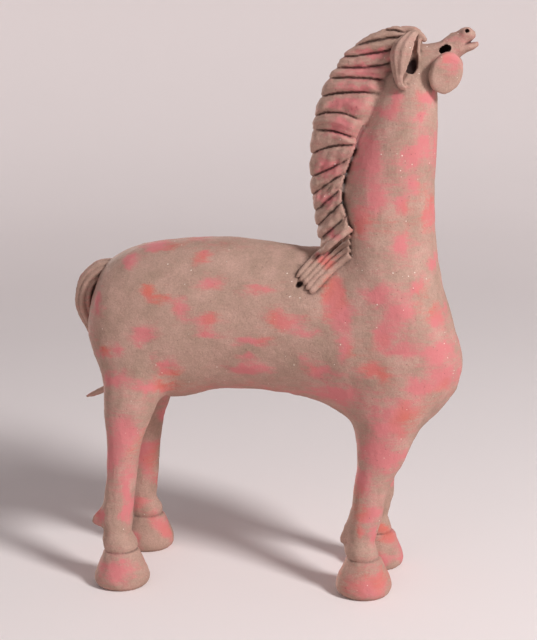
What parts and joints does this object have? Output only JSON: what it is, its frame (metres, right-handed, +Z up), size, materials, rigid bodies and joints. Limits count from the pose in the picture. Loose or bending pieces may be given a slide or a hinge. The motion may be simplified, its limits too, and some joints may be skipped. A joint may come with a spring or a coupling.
{
  "type": "haniwa horse figure",
  "caption": "Standing clay horse figure in the haniwa manner, long neck, strap mane, coin cheeks and bell hooves; stands on its hooves.",
  "frame": {"origin": "middle of the bounding box's underside, on the floor under the belly", "axes": "+X towards the head, +Y to the horse's left, +Z up"},
  "size_m": [0.3744, 0.1504, 0.5085],
  "materials": {
    "fired_clay": "matte grogged clay with rubbed red-pink slip"
  },
  "bodies": {
    "root": {"haniwa_horse": "fired_clay"}
  },
  "joints": []
}
